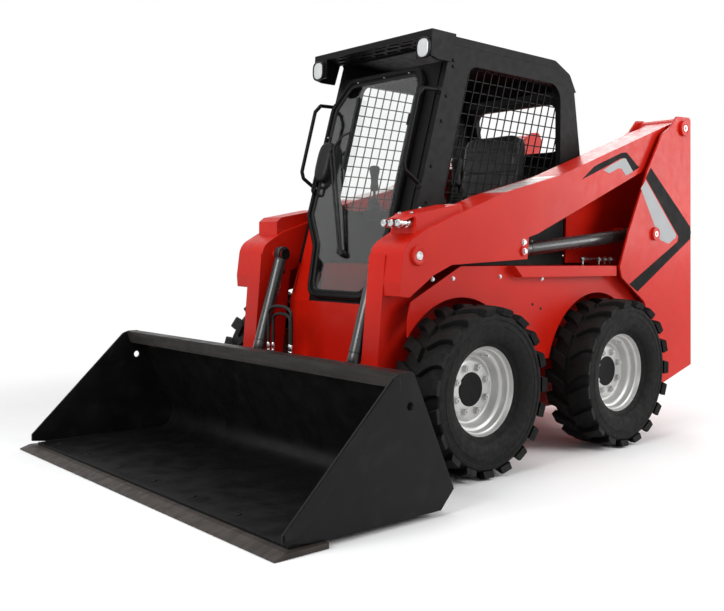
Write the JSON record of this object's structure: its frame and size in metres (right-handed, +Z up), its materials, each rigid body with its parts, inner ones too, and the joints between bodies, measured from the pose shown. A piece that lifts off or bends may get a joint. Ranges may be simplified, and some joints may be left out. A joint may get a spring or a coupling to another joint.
{
  "type": "skid steer loader",
  "caption": "Compact wheeled loader with a caged cab between two lift arms and a wide low bucket, steered by driving the wheels of each side at their own speed.",
  "frame": {"origin": "on the ground under the middle of the whole machine, bucket included", "axes": "+X forward, +Y to the machine's left, +Z up; the ground is Z = 0"},
  "size_m": [3.398, 2.17, 2.05],
  "materials": {
    "red_paint": "gloss",
    "black_paint": "satin",
    "wheel_silver": "satin",
    "tyre_rubber": "matte",
    "cast_iron": "matte",
    "clear_glass": "gloss",
    "seat_vinyl": "matte",
    "black_plastic": "matte",
    "lamp_lens": "gloss",
    "zinc_steel": "satin",
    "chrome_rod": "gloss",
    "worn_steel": "satin",
    "hose_rubber": "matte"
  },
  "bodies": {
    "chassis": {"cab_floor": "black_paint", "cab_front_frame": "black_paint", "cab_rear_wall": "black_paint", "cab_roof": "black_paint", "cab_side_left": "black_paint", "cab_side_right": "black_paint", "control_levers": "black_plastic", "engine_block": "cast_iron", "fender_left": "red_paint", "fender_right": "red_paint", "lamps": "lamp_lens", "main_frame": "red_paint", "seat_cushions": "seat_vinyl", "side_screen_left": "black_paint", "side_screen_right": "black_paint", "tower_left": "red_paint", "tower_right": "red_paint"},
    "cab_door": {"door_frame": "black_paint", "door_glass": "clear_glass"},
    "engine_hood": {"engine_hood": "red_paint"},
    "rear_door": {"rear_door": "black_paint"},
    "arm": {"arm_left": "red_paint", "arm_right": "red_paint", "arm_cross_tube": "red_paint", "quick_couplers": "zinc_steel", "aux_hoses": "hose_rubber"},
    "bucket": {"hitch_frame": "black_paint", "bucket_shell": "black_paint", "cutting_edge": "worn_steel"},
    "lift_barrel_left": {"lift_barrel_left": "red_paint"},
    "lift_rod_left": {"lift_rod_left": "chrome_rod"},
    "tilt_barrel_left": {"tilt_barrel_left": "red_paint"},
    "tilt_rod_left": {"tilt_rod_left": "chrome_rod"},
    "wheel_front_left": {"rim_front_left": "wheel_silver", "tyre_front_left": "tyre_rubber"},
    "wheel_rear_left": {"rim_rear_left": "wheel_silver", "tyre_rear_left": "tyre_rubber"},
    "lift_barrel_right": {"lift_barrel_right": "red_paint"},
    "lift_rod_right": {"lift_rod_right": "chrome_rod"},
    "tilt_barrel_right": {"tilt_barrel_right": "red_paint"},
    "tilt_rod_right": {"tilt_rod_right": "chrome_rod"},
    "wheel_front_right": {"rim_front_right": "wheel_silver", "tyre_front_right": "tyre_rubber"},
    "wheel_rear_right": {"rim_rear_right": "wheel_silver", "tyre_rear_right": "tyre_rubber"}
  },
  "joints": [
    {"name": "wheel_front_left_spin", "type": "hinge", "parent": "chassis", "child": "wheel_front_left", "pos_m": [0.3, 0.688, 0.39], "axis": [0, 1, 0], "continuous": true},
    {"name": "wheel_rear_left_spin", "type": "hinge", "parent": "chassis", "child": "wheel_rear_left", "pos_m": [-0.785, 0.688, 0.39], "axis": [0, 1, 0], "continuous": true},
    {"name": "wheel_front_right_spin", "type": "hinge", "parent": "chassis", "child": "wheel_front_right", "pos_m": [0.3, -0.688, 0.39], "axis": [0, 1, 0], "continuous": true},
    {"name": "wheel_rear_right_spin", "type": "hinge", "parent": "chassis", "child": "wheel_rear_right", "pos_m": [-0.785, -0.688, 0.39], "axis": [0, 1, 0], "continuous": true},
    {"name": "arm_lift", "type": "hinge", "parent": "chassis", "child": "arm", "pos_m": [-1.521, 0, 1.749], "axis": [0, -1, 0], "range_deg": [0, 60.5]},
    {"name": "bucket_tilt", "type": "hinge", "parent": "arm", "child": "bucket", "pos_m": [0.66, 0, 0.19], "axis": [0, 1, 0], "range_deg": [-28, 102]},
    {"name": "lift_barrel_left_swing", "type": "hinge", "parent": "chassis", "child": "lift_barrel_left", "pos_m": [-1.246, 0.538, 1.132], "axis": [0, -1, 0], "range_deg": [-0.5, 63]},
    {"name": "lift_rod_left_slide", "type": "slide", "parent": "lift_barrel_left", "child": "lift_rod_left", "axis": [0.9954, 0, -0.0954], "range_m": [-0.002, 0.683]},
    {"name": "tilt_barrel_left_swing", "type": "hinge", "parent": "arm", "child": "tilt_barrel_left", "pos_m": [0.606, 0.368, 0.998], "axis": [0, -1, 0], "range_deg": [-2.2, 0.8]},
    {"name": "tilt_rod_left_slide", "type": "slide", "parent": "tilt_barrel_left", "child": "tilt_rod_left", "axis": [0.2796, 0, -0.9601], "range_m": [-0.077, 0.276]},
    {"name": "lift_barrel_right_swing", "type": "hinge", "parent": "chassis", "child": "lift_barrel_right", "pos_m": [-1.246, -0.538, 1.132], "axis": [0, -1, 0], "range_deg": [-0.5, 63]},
    {"name": "lift_rod_right_slide", "type": "slide", "parent": "lift_barrel_right", "child": "lift_rod_right", "axis": [0.9954, 0, -0.0954], "range_m": [-0.002, 0.683]},
    {"name": "tilt_barrel_right_swing", "type": "hinge", "parent": "arm", "child": "tilt_barrel_right", "pos_m": [0.606, -0.368, 0.998], "axis": [0, -1, 0], "range_deg": [-2.2, 0.8]},
    {"name": "tilt_rod_right_slide", "type": "slide", "parent": "tilt_barrel_right", "child": "tilt_rod_right", "axis": [0.2796, 0, -0.9601], "range_m": [-0.077, 0.276]},
    {"name": "cab_door_hinge", "type": "hinge", "parent": "chassis", "child": "cab_door", "pos_m": [0.54381, 0.305, 0.76359], "axis": [-0.2696, 0, 0.963], "range_deg": [0, 85]},
    {"name": "rear_door_hinge", "type": "hinge", "parent": "chassis", "child": "rear_door", "pos_m": [-1.67487, 0.383, 0.5], "axis": [-0.0663, 0, -0.9978], "range_deg": [0, 100]},
    {"name": "engine_hood_hinge", "type": "hinge", "parent": "chassis", "child": "engine_hood", "pos_m": [-0.905, 0, 1.446], "axis": [0, 1, 0], "range_deg": [0, 60]}
  ],
  "couplings": [
    {"joint": "lift_barrel_left_swing", "follows": "arm_lift", "ratio": 1.03},
    {"joint": "lift_rod_left_slide", "follows": "arm_lift", "m_per_rad": 0.64453},
    {"joint": "tilt_barrel_left_swing", "follows": "bucket_tilt", "ratio": -0.02},
    {"joint": "tilt_rod_left_slide", "follows": "bucket_tilt", "m_per_rad": 0.154},
    {"joint": "lift_barrel_right_swing", "follows": "arm_lift", "ratio": 1.03},
    {"joint": "lift_rod_right_slide", "follows": "arm_lift", "m_per_rad": 0.64453},
    {"joint": "tilt_barrel_right_swing", "follows": "bucket_tilt", "ratio": -0.02},
    {"joint": "tilt_rod_right_slide", "follows": "bucket_tilt", "m_per_rad": 0.154}
  ]
}
